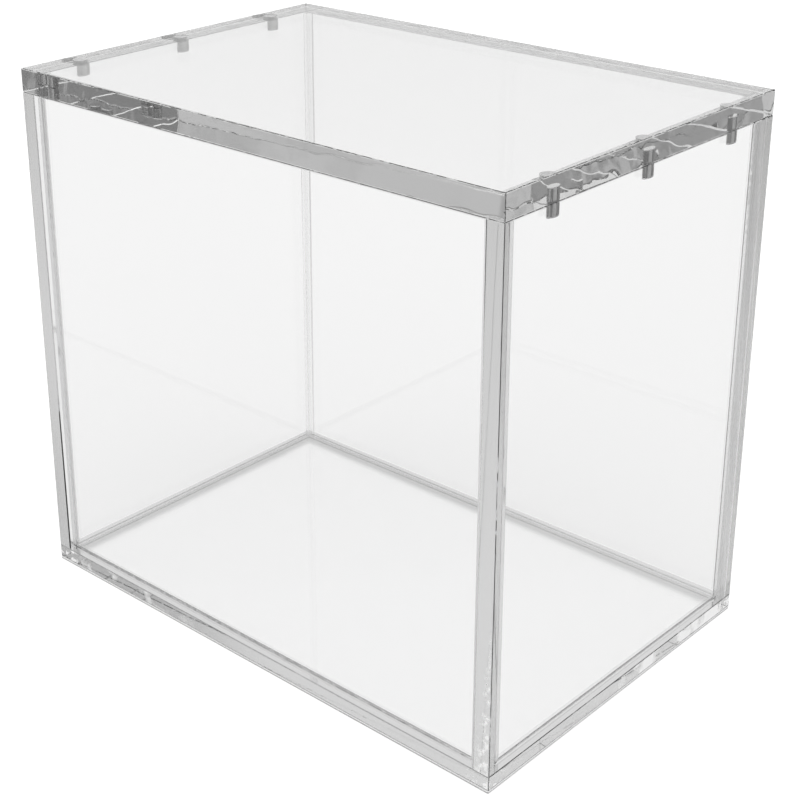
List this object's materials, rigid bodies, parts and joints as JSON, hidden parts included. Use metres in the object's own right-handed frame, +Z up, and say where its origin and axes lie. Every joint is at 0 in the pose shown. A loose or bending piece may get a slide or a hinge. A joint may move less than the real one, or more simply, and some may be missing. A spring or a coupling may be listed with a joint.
{
  "type": "acrylic storage box with lid",
  "caption": "Clear rectangular storage box of polished acrylic sheet with a thick flat lid that lifts straight off and is held by small magnets.",
  "frame": {"origin": "centre of the footprint, on the surface that the box stands on", "axes": "+X along the long side to the right seen from the front, +Y from the front to the rear, +Z up through the lid"},
  "size_m": [0.2, 0.135, 0.185],
  "materials": {
    "clear_acrylic": "polished clear sheet with diamond-polished edges",
    "nickel_magnet": "bright nickel plating"
  },
  "bodies": {
    "box": {"base_panel": "clear_acrylic", "left_panel": "clear_acrylic", "right_panel": "clear_acrylic", "front_panel": "clear_acrylic", "rear_panel": "clear_acrylic", "wall_magnet_left_front": "nickel_magnet", "wall_magnet_left_middle": "nickel_magnet", "wall_magnet_left_rear": "nickel_magnet", "wall_magnet_right_front": "nickel_magnet", "wall_magnet_right_middle": "nickel_magnet", "wall_magnet_right_rear": "nickel_magnet"},
    "lid": {"lid_plate": "clear_acrylic", "lid_magnet_left_front": "nickel_magnet", "lid_magnet_left_middle": "nickel_magnet", "lid_magnet_left_rear": "nickel_magnet", "lid_magnet_right_front": "nickel_magnet", "lid_magnet_right_middle": "nickel_magnet", "lid_magnet_right_rear": "nickel_magnet"}
  },
  "joints": [
    {"name": "lid_lift", "type": "slide", "parent": "box", "child": "lid", "axis": [0, 0, 1], "range_m": [0, 0.12]}
  ]
}
